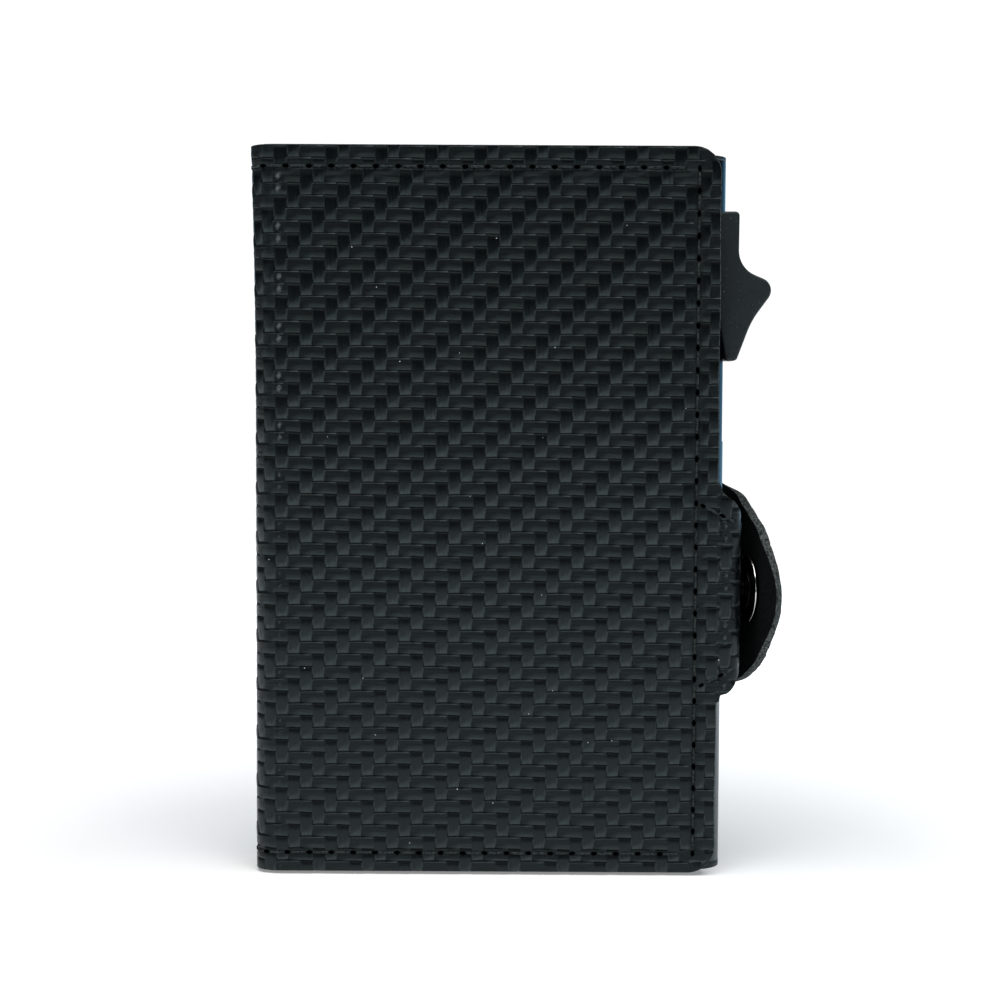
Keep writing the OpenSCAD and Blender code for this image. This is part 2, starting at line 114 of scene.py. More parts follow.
def makeObject(name, points, faces, slots, faceSlots=None, uv=None, sharpAt=50, marks=None):
    # points in mm, faces as rows of point numbers, one slot per face; a map in mm comes with marks per point
    mesh = bpy.data.meshes.new(name)
    mesh.from_pydata((np.asarray(points, float) * mm).tolist(), [], faces)
    for material in slots:
        mesh.materials.append(material)
    if faceSlots is not None:
        mesh.polygons.foreach_set("material_index", np.asarray(faceSlots, np.int32))
    if uv is not None:
        corner = np.empty(len(mesh.loops), np.int32)
        mesh.loops.foreach_get("vertex_index", corner)
        layer = mesh.uv_layers.new(name="UVMap")
        layer.data.foreach_set("uv", (uv[corner] / 100).ravel())
        layer = mesh.attributes.new("tows", "FLOAT_COLOR", "POINT")
        layer.data.foreach_set("color", marks.ravel())
    mesh.shade_smooth()
    mesh.set_sharp_from_angle(angle=math.radians(sharpAt))
    mesh.validate()
    return addObject(name, mesh)


# places and lens in mm, roll in degrees, shift as a share of the picture
camera = {"place": (0.6, -296.9, 64.7), "aim": (0.37, -8.3, 46.0), "roll": 0.29, "lens": 76.75,
          "sensor": 36.0, "shift": 0.04, "nearest": 10}
lights = {
    # place and aim in mm, width and height in mm, watts, colour
    "overhead": ((0, -330, 800), (0, 0, 0), (900, 700), 8.6, "#ffffff"),
    "foldStrip": ((-241, -405, 120), (-30, 0, 85), (42, 75), 0.05, "#eaf6ff"),
    "leftLow": ((-420, -200, 20), (-30, 0, 30), (80, 160), 0.12, "#eaf6ff"),
    "rightStrip": ((210, -420, 25), (33, 0, 40), (40, 110), 0.04, "#eaf6ff"),
    "rearLeft": ((-210, 420, 120), (-30, 0, 60), (150, 280), 0.08, "#86c4ea"),
    "rearRight": ((300, 330, 110), (30, 0, 50), (420, 260), 0.5, "#7cc0ea"),
}
# the dim light that the room gives, and the white that the camera sees of it
room = {"unseen": "#8fa0ac", "unseenPower": 0.03, "seenPower": 1.05}
paper = {"left": -700, "right": 700, "front": -240, "back": 620, "colour": "#f2f2f2", "rough": 0.95,
         "near": 60, "far": 260, "glow": {"To Min": 0.26, "To Max": 1.0}}


def lookAt(thing, place, aim, roll=0.0):
    # turns the object's -Z to the aim point with its +Y up, then rolls it about its own line of sight
    direction = mathutils.Vector(aim) - mathutils.Vector(place)
    facing = direction.to_track_quat("-Z", "Y").to_matrix()
    turn = facing @ mathutils.Matrix.Rotation(math.radians(roll), 3, "Z")
    thing.matrix_world = mathutils.Matrix.Translation(mathutils.Vector(place) * mm) @ turn.to_4x4()


cameraData = bpy.data.cameras.new("camera")
cameraData.lens, cameraData.sensor_width = camera["lens"], camera["sensor"]
cameraData.shift_y = camera["shift"]
cameraData.clip_start = camera["nearest"] * mm
cameraObject = addObject("camera", cameraData)
lookAt(cameraObject, camera["place"], camera["aim"], camera["roll"])
scene.camera = cameraObject

for name, (place, aim, size, watts, tint) in lights.items():
    data = bpy.data.lights.new(name, "AREA")
    data.shape = "RECTANGLE"
    data.size, data.size_y = size[0] * mm, size[1] * mm
    data.energy = watts
    data.color = linear(tint)[:3]
    lamp = addObject(name, data)
    lamp.visible_camera = False
    lookAt(lamp, place, aim)

# the camera sees white beyond the paper, and the wallet only a dim grey
world = bpy.data.worlds.new("studio")
scene.world = world
world.use_nodes = True
tree = world.node_tree
tree.nodes.clear()
seen = addNode(tree, "LightPath")
dim = addNode(tree, "Background", {"Color": linear(room["unseen"]), "Strength": room["unseenPower"]})
pale = addNode(tree, "Background", {"Color": (1, 1, 1, 1), "Strength": room["seenPower"]})
addNode(tree, "OutputWorld", {"Surface": addNode(tree, "MixShader", {0: seen, 1: dim, 2: pale})})
scene.view_settings.view_transform = "Standard"

# painted light: the paper glows, dimly near the wallet and fully away from it, as a cove lit from behind
# looks
floorPaper, tree = newMaterial("matt white paper")
away = addNode(tree, "VectorMath", {0: addNode(tree, "TexCoord", out="Object")}, out=1, operation="LENGTH")
glow = addNode(tree, "MapRange", {
    "Value": away, "From Min": paper["near"] * mm, "From Max": paper["far"] * mm, **paper["glow"]})
finish(tree, {"Base Color": linear(paper["colour"]), "Roughness": paper["rough"],
              "Emission Color": (1, 1, 1, 1), "Emission Strength": glow})
floorCorners = [(paper[x], paper[y], 0) for x, y in
                (("left", "front"), ("right", "front"), ("right", "back"), ("left", "back"))]
makeObject("floor", floorCorners, [(0, 1, 2, 3)], [floorPaper])
print("stage done")

# All patterns below are in mm: the maps and object coordinates are scaled up to mm first. Weft is the
# crosswise tow and warp the upright one. A range says between which values a noise draws something.
leather = {
    "towPitch": 1.675, "weftRough": 0.36, "warpRough": 0.35, "creaseRough": 0.95, "tint": "#e4f9ff",
    # painted light: the creases' near-black paints shade, and the two greys after it paint highlights on the
    # edges and glints at the folds
    "coat": "#0e1315", "hollow": "#020303", "creaseShade": "#010202", "paintedHighlight": "#424a49", "bare": "#7b8381",
    "coatFrom": 0.4, "coatTo": 0.63, "grainShare": 0.4, "glintRange": {"From Min": 0.2, "From Max": 0.75},
    "lineGap": 0.3125, "lineLength": 4.0, "lineDepth": 0.05, "grainSize": 0.2, "grainDepth": 0.02,
    "lint": "#c3c9c5", "lintCells": 0.62, "lintSize": 0.045, "lintless": 0.86,
    "weft": {"Anisotropic": 0.5, "Anisotropic Rotation": 0.25, "Specular IOR Level": 0.29},
    "warp": {"Anisotropic": 0.68, "Anisotropic Rotation": 0.0, "Specular IOR Level": 0.31},
}


def towLeather(name, tow):
    # Split leather with a polyurethane coat, hot-pressed with a 2/2 twill: a satin black whose fine fibre
    # lines run along each tow, with a painted highlight pale along the tows' edges and painted shade black in
    # the creases. The lines, 0.3 mm apart, are coarser than real ones.
    material, tree = newMaterial(name)
    flat = addNode(tree, "Mapping", {"Vector": addNode(tree, "TexCoord", out="UV"), "Scale": (100, 100, 100)})
    long, short = 1 / leather["lineLength"], 1 / leather["lineGap"]
    drawn = (long, short, 1) if tow == "weft" else (short, long, 1)
    lines = addNode(tree, "TexNoise", {
        "Vector": addNode(tree, "Mapping", {"Vector": flat, "Scale": drawn}), "Scale": 1.0, "Detail": 4.0})
    grain = addNode(tree, "TexNoise", {"Vector": flat, "Scale": 1 / leather["grainSize"], "Detail": 3.0})
    uneven = addNode(tree, "Mix", {0: leather["grainShare"], 2: lines, 3: grain})
    painted = addNode(tree, "Attribute", attribute_name="tows").node
    edgeHighlight, creaseShadeMask, light = addNode(tree, "SeparateColor", {0: painted.outputs["Color"]}).node.outputs
    edgeHighlightAmount = addNode(tree, "Math", {0: edgeHighlight, 1: uneven}, operation="MULTIPLY")
    # painted glints: pale patches where the leather is stretched over a fold
    glintSpots = addNode(tree, "Math", {0: painted.outputs["Alpha"], 1: grain}, operation="MULTIPLY")
    bare = addNode(tree, "MapRange", {"Value": glintSpots, **leather["glintRange"]})
    # one speck of lint in some of the cells, of which there are 0.62 to a mm
    cell = addNode(tree, "TexVoronoi", {"Vector": flat, "Scale": leather["lintCells"]}).node
    near = addNode(tree, "Math", {0: cell.outputs["Distance"], 1: leather["lintSize"]}, operation="LESS_THAN")
    chance = addNode(tree, "SeparateColor", {0: cell.outputs["Color"]})
    some = addNode(tree, "Math", {0: chance, 1: leather["lintless"]}, operation="GREATER_THAN")
    speck = addNode(tree, "Math", {0: near, 1: some}, operation="MULTIPLY")
    # painted shade in black, the coat over it by its lightness, then painted highlights, shade, glints and
    # lint
    coat = addNode(tree, "ValToRGB", {0: uneven}, stops=[
        (leather["coatFrom"], leather["hollow"]), (leather["coatTo"], leather["coat"])])
    colour = addNode(tree, "Mix", {0: light, 6: linear(leather["creaseShade"]), 7: coat}, out=2, data_type="RGBA")
    for amount, over in ((edgeHighlightAmount, "paintedHighlight"), (creaseShadeMask, "creaseShade"), (bare, "bare"), (speck, "lint")):
        colour = addNode(tree, "Mix", {0: amount, 6: colour, 7: linear(leather[over])}, out=2,
                         data_type="RGBA")
    roughness = addNode(tree, "MapRange", {
        "Value": creaseShadeMask, "To Min": leather[tow + "Rough"], "To Max": leather["creaseRough"]})
    ridges = addNode(tree, "Bump", {"Height": lines, "Distance": leather["lineDepth"] * mm})
    normal = addNode(tree, "Bump", {
        "Height": grain, "Distance": leather["grainDepth"] * mm, "Normal": ridges})
    # the fibres spread a reflection across their own run
    tangent = addNode(tree, "Tangent", direction_type="UV_MAP", uv_map="UVMap")
    finish(tree, {"Base Color": colour, "Roughness": roughness, "Normal": normal, "Tangent": tangent,
                  "Specular Tint": linear(leather["tint"]), **leather[tow]})
    return material


weftLeather = towLeather("embossed leather, crosswise tows", "weft")
warpLeather = towLeather("embossed leather, upright tows", "warp")

# dark and light colour, size of the tufts, of the single fibres and of the nap in mm, sheen, roughness
fibres = {
    # split, buffed to a short nap: dull black with soft lighter tufts
    "black suede, buffed split leather": ("#020202", "#0b0d0d", 0.6, 0.14, 0.12, 0.0, 1.0),
    # cut with a steel rule and left raw: grey where the fibres stick out
    "cut leather edge, bare fibres": ("#0c0e0f", "#6b7170", 0.3, 0.12, 0.16, 0.0, 0.95),
    # wool, felted and pressed: charcoal with a faint bloom
    "pressed wool felt": ("#101111", "#2a2b2c", 0.5, 0.12, 0.2, 0.3, 0.95),
    # cast foam with closed cells: an even off-white
    "acrylic foam tape": ("#a9a596", "#cbc6b8", 0.25, 0.1, 0.08, 0.0, 0.7),
    # skived thin and ironed under a plate: black with a slight shine
    "skived calf leather, plated smooth": ("#0c0e0f", "#171a1c", 0.9, 0.2, 0.03, 0.0, 0.5),
    # twisted and bonded: black with grey glints on the strands
    "bonded polyester thread, twisted": ("#050606", "#3f4645", 0.3, 0.12, 0.08, 0.0, 0.5),
}
nap = {"darkUpTo": 0.35, "lightFrom": 0.72, "specular": 0.15, "ends": "#4b504f",
       "endsRange": {"From Min": 0.71, "From Max": 0.76}}


def fibreMaterial(name):
    # matted fibres: tufts colour it and single fibres roughen it, with pale loose ends here and there
    dark, light, tuft, fibre, depth, sheen, rough = fibres[name]
    material, tree = newMaterial(name)
    place = addNode(tree, "Mapping", {
        "Vector": addNode(tree, "TexCoord", out="Object"), "Scale": (1000, 1000, 1000)})
    tufts = addNode(tree, "TexNoise", {"Vector": place, "Scale": 1 / tuft, "Detail": 5.0})
    single = addNode(tree, "TexNoise", {"Vector": place, "Scale": 1 / fibre, "Detail": 2.0})
    body = addNode(tree, "ValToRGB", {0: tufts}, stops=[(nap["darkUpTo"], dark), (nap["lightFrom"], light)])
    ends = addNode(tree, "MapRange", {"Value": single, **nap["endsRange"]})
    colour = addNode(tree, "Mix", {0: ends, 6: body, 7: linear(nap["ends"])}, out=2, data_type="RGBA")
    normal = addNode(tree, "Bump", {"Height": single, "Distance": depth * mm})
    finish(tree, {"Base Color": colour, "Roughness": rough, "Normal": normal, "Sheen Weight": sheen,
                  "Sheen Roughness": 0.5, "Specular IOR Level": nap["specular"],
                  "Specular Tint": linear(leather["tint"])})
    return material


suede, rawEdge, feltWool, foamTape, pocketLeather, threadMaterial = (fibreMaterial(name) for name in fibres)

# colour, metallic, roughness, spacing of the marks in mm, how much the marks are drawn out along x, y, z,
# depth in mm
hard = {
    # extruded and anodised black: a dark metal with faint draw lines up the case
    "black anodised aluminium, extruded": ("#3b464c", 1.0, 0.36, 0.1, (1, 1, 0.02), 0.004),
    # rolled and left as it comes: a soft grey with the same lines
    "mill-finish aluminium strip": ("#b9bbbd", 1.0, 0.36, 0.1, (1, 1, 0.02), 0.005),
    # stamped and plated: the socket is dark, and its rolled rim has a bright copy of the plate as a painted
    # highlight
    "bright nickel plate, painted rim highlight": ("#d9d8d4", 1.0, 0.14, 0.5, (1, 1, 1), 0.003),
    "black nickel plate, stamped brass": ("#1c1d1e", 1.0, 0.3, 0.4, (1, 1, 1), 0.004),
    # sprayed and baked: a glossy black with a slight orange peel
    "black stove enamel on brass": ("#0c0d0e", 0.0, 0.22, 0.6, (1, 1, 1), 0.01),
    # injection moulded in an eroded mould: an even fine grain that stays dull
    "black ABS, spark-eroded mould grain": ("#101314", 0.0, 0.5, 0.14, (1, 1, 1), 0.035),
}
dust = {"size": 0.2, "colour": "#8b9390", "range": {"From Min": 0.745, "From Max": 0.77}}


def hardMaterial(name):
    # a plain colour with fine marks in its surface and a few pale specks of dust
    code, metallic, rough, spacing, drawn, depth = hard[name]
    material, tree = newMaterial(name)
    place = addNode(tree, "Mapping", {
        "Vector": addNode(tree, "TexCoord", out="Object"), "Scale": (1000, 1000, 1000)})
    marks = addNode(tree, "TexNoise", {
        "Vector": addNode(tree, "Mapping", {"Vector": place, "Scale": drawn}), "Scale": 1 / spacing,
        "Detail": 3.0})
    scatter = addNode(tree, "TexNoise", {"Vector": place, "Scale": 1 / dust["size"], "Detail": 2.0})
    specks = addNode(tree, "MapRange", {"Value": scatter, **dust["range"]})
    colour = addNode(tree, "Mix", {0: specks, 6: linear(code), 7: linear(dust["colour"])}, out=2,
                     data_type="RGBA")
    normal = addNode(tree, "Bump", {"Height": marks, "Distance": depth * mm})
    finish(tree, {"Base Color": colour, "Metallic": metallic, "Roughness": rough, "Normal": normal,
                  "Specular Tint": (1, 1, 1, 1) if metallic else linear(leather["tint"])})
    return material


anodised, millStrip, brightNickelAndRimHighlight, blackNickel, enamel, mouldedAbs = (hardMaterial(name) for name in hard)
print("materials done")

# The leather's plan: (length mm, turn in degrees) from the middle of the spine, on the outer face. s is the
# length along it, z the height, and the tabs start where s passes the cover's edge.
wrap = {
    "start": (-33.0, -0.9), "leadIn": 5, "coverEdge": 68.83, "lowEdge": 0.5, "highEdge": 99.0, "corner": 3.6,
    "front": [(4.2, 0), (5.0265, 90), (60.9, 0), (3.4558, 90), (10.1, 0)],
    "back": [(4.2, 0), (5.0265, -90), (61.6192, 0), (4.9637, -79), (9.747, 0), (3.4, 36)],
    "shell": 1.2, "lining": 0.6, "liningInset": 0.4, "snapZ": 39.0,
    "flare": {"least": 0.1, "most": 0.72, "from": 60.0, "length": 38.0, "fade": 14},
}


def planPath(s, side):
    # The place at s and the outward normal: x = x0 + (sin h - sin h0) / k and y = y0 - (cos h - cos h0) / k
    # on a bend. The first length is also drawn out backwards, by the lead-in.
    s = np.asarray(s, float)
    x0, y0 = wrap["start"]
    h0 = math.radians(-90 if side == "front" else 90)
    s0 = 0.0
    x, y, h = np.zeros_like(s), np.zeros_like(s), np.zeros_like(s)
    for length, turn in wrap[side]:
        k = math.radians(turn) / length
        reach = np.append(np.clip(s - s0, -wrap["leadIn"], length), length)
        heading = h0 + k * reach
        if k:
            px = x0 + (np.sin(heading) - math.sin(h0)) / k
            py = y0 - (np.cos(heading) - math.cos(h0)) / k
        else:
            px, py = x0 + reach * math.cos(h0), y0 + reach * math.sin(h0)
        here = (s >= s0) | (s0 == 0)
        both = zip((px, py, heading), (x, y, h))
        x, y, h = (np.where(here, new[:-1].reshape(s.shape), old) for new, old in both)
        x0, y0, s0, h0 = px[-1], py[-1], s0 + length, h0 + math.radians(turn)
    out = 1 if side == "front" else -1
    return x, y, out * np.sin(h), -out * np.cos(h)


def onWrap(s, z, depth, side):
    # The point of the sheet at s and z, depth mm below the outer face. The spine stands out a little, more so
    # towards its top: out = least + most ((z - from) / length)^2, which fades along either cover.
    x, y, nx, ny = planPath(s, side)
    flare = wrap["flare"]
    out = flare["least"] + flare["most"] * (np.clip(z - flare["from"], 0, None) / flare["length"]) ** 2
    out = out * (1 - smooth(np.abs(s), 0, flare["fade"]))
    return np.stack([x - nx * depth - out, y - ny * depth, np.broadcast_to(z, x.shape)], axis=-1)


# Origin, heights and wandering in mm. A pair is where on a tow, in tows, something starts and ends. The cuts
# are the shares of a tow at which the grid has a line.
twill = {
    "originS": 0.6, "originZ": 0.2, "level": -0.06, "sway": 0.035, "wander": 0.05, "wanderFrom": 9,
    "calmEdge": 2, "weft": 0.045, "groove": 0.13, "grooveSide": (0.2, 0.55), "grooveFoot": (0.07, 0.14),
    "lip": 0.015, "lipFrom": (0.8, 0.9), "lipSide": (0.7, 0.9), "lipHighlight": 0.9,
    "warpLow": -0.09, "warpRise": 0.21, "riseRun": 0.11, "sink": 0.058, "halfWidth": 0.5, "middle": 0.46,
    "footNarrow": 0.12, "topNarrow": 0.04, "edgeDip": 0.05, "edge": (-0.02, 0.06), "flank": (0.9, 1.3),
    "flankMiddle": 0.02, "flankWidth": 0.045, "foot": (1.8, 1.87), "footEdge": (-0.02, 0.01),
    # painted shade: how far the creases' black reaches, and how much an upright tow is darkened at its top
    "creaseTop": 0.2, "creaseFoot": (0.04, 0.13), "topShade": 0.7, "shadeTo": 1.5,
    # painted glints at the spine's fold and the tab's bend: places on s and width in mm, and how strong they
    # are
    "foldGlint": {"places": (9.5, 70.1), "width": 0.42, "warp": 0.4, "fold": 0.55, "foldTop": 0.45,
                "foldFrom": (45, 70), "tab": 0.6, "tabFrom": 30},
    "cutsS": (0, 0.07, 0.14, 0.86, 0.93), "cutsZ": (0, 0.07, 0.14, 0.5, 0.87, 0.94), "leastGap": 0.06,
}
stitch = {
    "pitch": 3.0, "length": 2.35, "radius": 0.18, "proud": 0.1, "dive": 0.3, "tipRadius": 0.03,
    "side": 2.85, "low": 2.5, "high": 2.8, "bed": 0.42, "bedDepth": 0.1, "bedFlat": 0.8, "bedCrease": 0.35,
    "rings": 9, "around": 8, "hole": (0.42, 0.26), "holePoints": 10,
    "holeRings": ((1.0, -0.14), (0.9, 0.03), (0.5, 0.02)),  # share of the ellipse, height over the outer face
}
rowS = wrap["coverEdge"] - stitch["side"]
rowLow, rowHigh = wrap["lowEdge"] + stitch["low"], wrap["highEdge"] - stitch["high"]


def towCell(s, z):
    # which tow lies under a point and where on its cell: the phase counts cells along the diagonal, (i + j)
    # mod 4, 0 and 1 being crosswise and 2 and 3 upright, and the place runs from 0 to 1 both ways
    a = (s - twill["originS"]) / leather["towPitch"]
    b = (twill["originZ"] - z) / leather["towPitch"]
    i, j = np.floor(a + 1e-6), np.floor(b + 1e-6)
    return np.mod(i + j, 4).astype(int), np.clip(a - i, 0, 1), np.clip(b - j, 0, 1)


def sway(s, z):
    # the rows rise and fall by a sine of the diagonal place, and the sheet wanders by slow sines of both
    # places, as pressed leather does; this dies away at the upper and lower edges and at the spine
    diagonal = (s - twill["originS"] + twill["originZ"] - z) / leather["towPitch"]
    lift = -twill["sway"] * leather["towPitch"] * np.sin(math.pi / 2 * (diagonal - 2))
    calm = twill["calmEdge"]
    inside = smooth(wrap["highEdge"] - z, 0, calm) * smooth(z - wrap["lowEdge"], 0, calm)
    aside = twill["wander"] * np.sin(z / 3.1 + 1.3 * np.sin(s / 9)) * smooth(s, 0, twill["wanderFrom"])
    return s + aside, z + inside * (lift + twill["wander"] * np.sin(s / 5 + z / 9))


def twillForm(s, z, bed):
    # Height: a crosswise tow is level, with a groove under an upright tow's end. An upright tow comes up
    # steeply and sinks slowly, low + rise (1 - exp(-run / riseRun)) - sink run^2, its run being 0 to 2, and
    # narrows at both ends. Marks: red a painted highlight on an upright tow's lower sides and foot and on a
    # crosswise tow's lip, green painted shade in the creases, blue the coat's lightness, lowered as painted
    # shade towards an upright tow's top, alpha painted glints at the folds.
    phase, across, down = towCell(s, z)
    upright = phase >= 2
    run = down + (phase == 3)
    under = np.select([phase == 0, phase == 1], [1.0, 1 - smooth(across, *twill["grooveSide"])], 0.0)
    dip = under * (1 - smooth(down, *twill["grooveFoot"]))
    lip = np.select([phase == 1, phase == 0], [1.0, smooth(across, *twill["lipSide"])], 0.0)
    lip = lip * smooth(down, *twill["lipFrom"])
    weft = twill["weft"] - twill["groove"] * dip - twill["lip"] * lip
    arch = twill["warpLow"] + twill["warpRise"] * (1 - np.exp(-run / twill["riseRun"]))
    arch = arch - twill["sink"] * run * run
    half = twill["halfWidth"] - twill["footNarrow"] * np.clip(run - 1, 0, 1) ** 1.5
    inward = half - twill["topNarrow"] * np.clip(1 - run, 0, 1) ** 2 - np.abs(across - twill["middle"])
    warp = arch - twill["edgeDip"] * (1 - smooth(inward, *twill["edge"])) * smooth(run, 0, 0.5)
    height = np.where(upright, warp, weft)
    # painted highlight: an upright tow's lower sides and its foot are marked pale
    flank = np.exp(-((inward - twill["flankMiddle"]) / twill["flankWidth"]) ** 2)
    flank = flank * smooth(run, *twill["flank"])
    foot = smooth(run, *twill["foot"]) * smooth(inward, *twill["footEdge"])
    edgeHighlight = np.where(upright, np.clip(flank + foot, 0, 1), twill["lipHighlight"] * lip)
    # painted shade: black under an upright tow's end and at its top
    creaseShade = under * (1 - smooth(down, *twill["creaseFoot"]))
    creaseShade = np.where(upright, 1 - smooth(run, 0, twill["creaseTop"]), creaseShade)
    # painted shade: an upright tow's coat is darkened towards its top
    light = np.where(upright, 1 - twill["topShade"] * (1 - smooth(run, 0, twill["shadeTo"])), 1.0)
    if bed is not None:
        height = height * (1 - stitch["bedFlat"] * bed) - stitch["bedDepth"] * bed
        # the stitches' pressed line gets painted shade and loses the painted highlights
        creaseShade, edgeHighlight = np.clip(creaseShade + stitch["bedCrease"] * bed, 0, 1), edgeHighlight * (1 - bed)
    # painted glints at the folds, strongest halfway down each tow
    paintedHighlight = twill["foldGlint"]
    foldGlint = sum(np.exp(-((s - place) / paintedHighlight["width"]) ** 2) for place in paintedHighlight["places"])
    foldGlint = foldGlint * np.where(upright, paintedHighlight["warp"], 1.0) * np.sin(math.pi * down)
    onFold = paintedHighlight["fold"] + paintedHighlight["foldTop"] * smooth(z, *paintedHighlight["foldFrom"])
    foldGlint = foldGlint * np.where(s < paintedHighlight["tabFrom"], onFold, paintedHighlight["tab"])
    return height + twill["level"], np.stack([edgeHighlight, creaseShade, light, foldGlint], -1)


def stitchBed(s, z):
    # depth of the pressed line along the stitches: exp(-(d / width)^2), d being the distance to the line
    inBand = np.where(s < rowS, np.minimum(np.abs(z - rowLow), np.abs(z - rowHigh)), np.inf)
    inColumn = np.where((z > rowLow) & (z < rowHigh), np.abs(s - rowS), np.inf)
    return np.exp(-(np.minimum(inBand, inColumn) / stitch["bed"]) ** 2)


def towLines(low, high, origin, cuts, extra):
    # every tow boundary with the given cuts between, and some more lines, none too near to the next
    pitch = leather["towPitch"]
    first, last = math.floor((low - origin) / pitch), math.ceil((high - origin) / pitch)
    lines = (origin + pitch * (np.arange(first, last)[:, None] + np.array(cuts))).ravel()
    lines = np.sort(np.concatenate([lines[(lines > low) & (lines < high)], extra, [low, high]]))
    kept = np.append(np.diff(lines) > twill["leastGap"], True)
    kept[0] = True
    return lines[kept]


def coverFit(s, z):
    # rounds the free corners: a square in a and b becomes a disc, a sqrt(1 - b^2/2) and b sqrt(1 - a^2/2)
    r = wrap["corner"]
    for sign, edge in ((1, wrap["highEdge"]), (-1, wrap["lowEdge"])):
        a = np.clip((s - (wrap["coverEdge"] - r)) / r, 0, None)
        b = np.clip(sign * (z - (edge - sign * r)) / r, 0, None)
        both = (a > 0) & (b > 0)
        s = np.where(both, wrap["coverEdge"] - r + r * a * np.sqrt(1 - b * b / 2), s)
        z = np.where(both, edge - sign * r + sign * r * b * np.sqrt(1 - a * a / 2), z)
    return s, z


# share of the depth and share of the bulge at each loop of points round a cut edge
cutEdge = ((0.10, 0.55), (0.32, 1.0), (0.68, 1.0), (0.90, 0.55), (1.0, 0.0))


def coarseFaces(number, pickedRows, pickedColumns):
    # faces between the picked lines of a grid of point numbers, with every point on the grid's rim
    lastRow, lastColumn = number.shape[0] - 1, number.shape[1] - 1
    faces = []
    for r0, r1 in zip(pickedRows, pickedRows[1:]):
        for c0, c1 in zip(pickedColumns, pickedColumns[1:]):
            around = [(r0, c) for c in (range(c0, c1) if r0 == 0 else [c0])]
            around += [(r, c1) for r in (range(r0, r1) if c1 == lastColumn else [r0])]
            around += [(r1, c) for c in (range(c1, c0, -1) if r1 == lastRow else [c1])]
            around += [(r, c0) for r in (range(r1, r0, -1) if c0 == 0 else [r1])]
            faces.append([int(number[place]) for place in around][::-1])
    return faces


def sheetSolid(name, s, z, side, depths, form, slots, outerSlots, coarse, bulge, sharpAt=22, swayed=True):
    # A sheet between two depths on grids of s and z. The outer face carries the relief, loops of points make
    # the cut edge, and the inner face takes every coarse-th line and the rim.
    height, marks = form
    rows, columns = s.shape
    count = rows * columns
    top, low = depths
    index = np.arange(count).reshape(rows, columns)
    loop = np.concatenate([index[0, :], index[1:, -1], index[-1, -2::-1], index[-2:0:-1, 0]])
    placeS, placeZ = sway(s, z) if swayed else (s, z)
    points = [onWrap(placeS.ravel(), placeZ.ravel(), top - height.ravel(), side)]
    loopS, loopZ = placeS.ravel()[loop], placeZ.ravel()[loop]
    ds, dz = (np.roll(place, -1) - np.roll(place, 1) for place in (loopS, loopZ))
    size = np.hypot(ds, dz) + 1e-9
    outS, outZ = bulge * dz / size, -bulge * ds / size
    for part, out in cutEdge:
        points.append(onWrap(loopS + outS * out, loopZ + outZ * out, top + part * (low - top), side))
    flat = np.stack([s.ravel(), z.ravel()], -1)
    uv = [flat] + [flat[loop]] * len(cutEdge)
    faces, faceSlots = [gridFaces(rows, columns)], [outerSlots]
    rings = [loop] + [count + k * len(loop) + np.arange(len(loop)) for k in range(len(cutEdge))]
    for upper, lower in zip(rings, rings[1:]):
        faces.append(np.stack([np.roll(upper, -1), upper, lower, np.roll(lower, -1)], -1))
        faceSlots.append(np.full(len(loop), 2))
    pickedRows, pickedColumns = (sorted({*range(0, number, coarse), number - 1}) for number in s.shape)
    inner = np.ix_(pickedRows[1:-1], pickedColumns[1:-1])
    points.append(onWrap(placeS[inner].ravel(), placeZ[inner].ravel(), low, side))
    uv.append(np.stack([s[inner].ravel(), z[inner].ravel()], -1))
    number = np.full((rows, columns), -1)
    number.ravel()[loop] = rings[-1]
    number[inner] = rings[-1][-1] + 1 + np.arange(s[inner].size).reshape(s[inner].shape)
    innerFaces = coarseFaces(number, pickedRows, pickedColumns)
    allFaces = [face for part in faces for face in part.tolist()] + innerFaces
    if side == "back":
        allFaces = [face[::-1] for face in allFaces]
    points = np.concatenate(points)
    allMarks = np.zeros((len(points), 4))
    allMarks[:count] = marks.reshape(-1, 4)
    faceSlots.append(np.full(len(innerFaces), 3))
    return makeObject(name, points, allFaces, slots, np.concatenate(faceSlots), np.concatenate(uv), sharpAt,
                      allMarks)


def towSlots(s, z):
    # crosswise tows in slot 0 and upright tows in slot 1, by the middle of each cell of the grid
    phase, _, _ = towCell((s[:-1, :-1] + s[1:, 1:]) / 2, (z[:-1, :-1] + z[1:, 1:]) / 2)
    return (phase >= 2).astype(int).ravel()


# the bodies on either side of each fold, and where on the plan, in mm, the bend begins and ends
folds = {
    "frontSpine": ("spine", "front_cover", (-33.0, -5.1), (-29.8, -8.3)),
    "backSpine": ("spine", "root", (-33.0, 3.3), (-29.8, 6.5)),
    "frontTab": ("front_cover", "front_tab", (31.1, -8.3), (33.3, -6.1)),
    "backTab": ("root", "back_tab", (31.819, 6.5), (35.353, 3.587)),
}


def attach(piece, where, slot, *replaced):
    # at a fold the piece's place is baked into its mesh, else it moves with a body; it stands for the
    # replaced nodes
    if where in folds:
        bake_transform(piece)
    else:
        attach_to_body(piece, where)
    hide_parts(*replaced)


def leatherSkin(name, side, s, z, bed, *edge):
    # the embossed outer leather of one side, s and z being its grid
    return sheetSolid(name, s, z, side, (0.0, wrap["shell"]), twillForm(s, z, bed),
                      [weftLeather, warpLeather, rawEdge, suede], towSlots(s, z), *edge)


